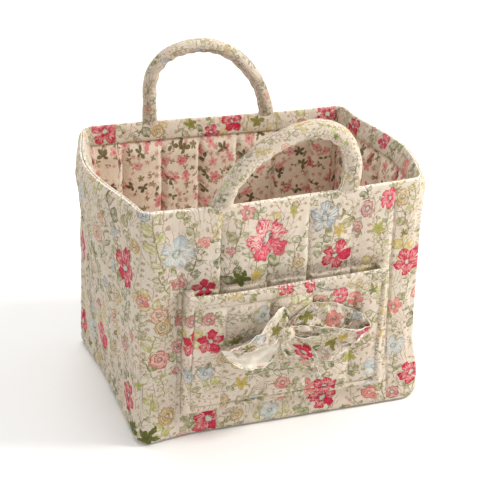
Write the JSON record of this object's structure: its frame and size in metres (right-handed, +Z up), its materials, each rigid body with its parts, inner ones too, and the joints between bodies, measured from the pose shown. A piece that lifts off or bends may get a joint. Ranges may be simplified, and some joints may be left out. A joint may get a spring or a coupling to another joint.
{
  "type": "fabric sewing box",
  "caption": "Open quilted fabric sewing box with layered walls, a turned-over rim, folding padded handles and a patch pocket with a bow.",
  "frame": {"origin": "middle of the underside of the base", "axes": "+X right along the front wall, +Y from the front wall to the back wall, +Z up out of the opening"},
  "size_m": [0.294, 0.2342, 0.3025],
  "materials": {
    "printed_cotton": "cream cotton with a printed flower pattern, quilted over wadding",
    "lining_cotton": "cotton with a small dense flower print, quilted",
    "stiffener": "thin flexible sheet",
    "wadding": "loose polyester wadding"
  },
  "bodies": {
    "shell": {"base_panel": "printed_cotton", "base_board": "stiffener", "base_lining": "lining_cotton", "front_panel": "printed_cotton", "front_board": "stiffener", "front_lining": "lining_cotton", "front_hem": "printed_cotton", "right_panel": "printed_cotton", "right_board": "stiffener", "right_lining": "lining_cotton", "right_hem": "printed_cotton", "back_panel": "printed_cotton", "back_board": "stiffener", "back_lining": "lining_cotton", "back_hem": "printed_cotton", "left_panel": "printed_cotton", "left_board": "stiffener", "left_lining": "lining_cotton", "left_hem": "printed_cotton", "front_handle_tab_left": "printed_cotton", "front_handle_tab_right": "printed_cotton", "back_handle_tab_left": "printed_cotton", "back_handle_tab_right": "printed_cotton", "pocket_panel": "printed_cotton", "pocket_lining": "printed_cotton", "pocket_hem": "printed_cotton", "pocket_side_left": "printed_cotton", "pocket_side_right": "printed_cotton", "pocket_bottom": "printed_cotton", "bow_knot": "printed_cotton", "bow_loop_left": "printed_cotton", "bow_loop_right": "printed_cotton", "bow_tail_left": "printed_cotton", "bow_tail_right": "printed_cotton"},
    "front_handle": {"front_handle_cover": "printed_cotton", "front_handle_filling": "wadding"},
    "back_handle": {"back_handle_cover": "printed_cotton", "back_handle_filling": "wadding"}
  },
  "joints": [
    {"name": "front_handle_fold", "type": "hinge", "parent": "shell", "child": "front_handle", "pos_m": [0, -0.1008, 0.233], "axis": [-1, 0, 0], "range_deg": [-130, 130]},
    {"name": "back_handle_fold", "type": "hinge", "parent": "shell", "child": "back_handle", "pos_m": [0, 0.0993, 0.233], "axis": [1, 0, 0], "range_deg": [-130, 130]}
  ]
}
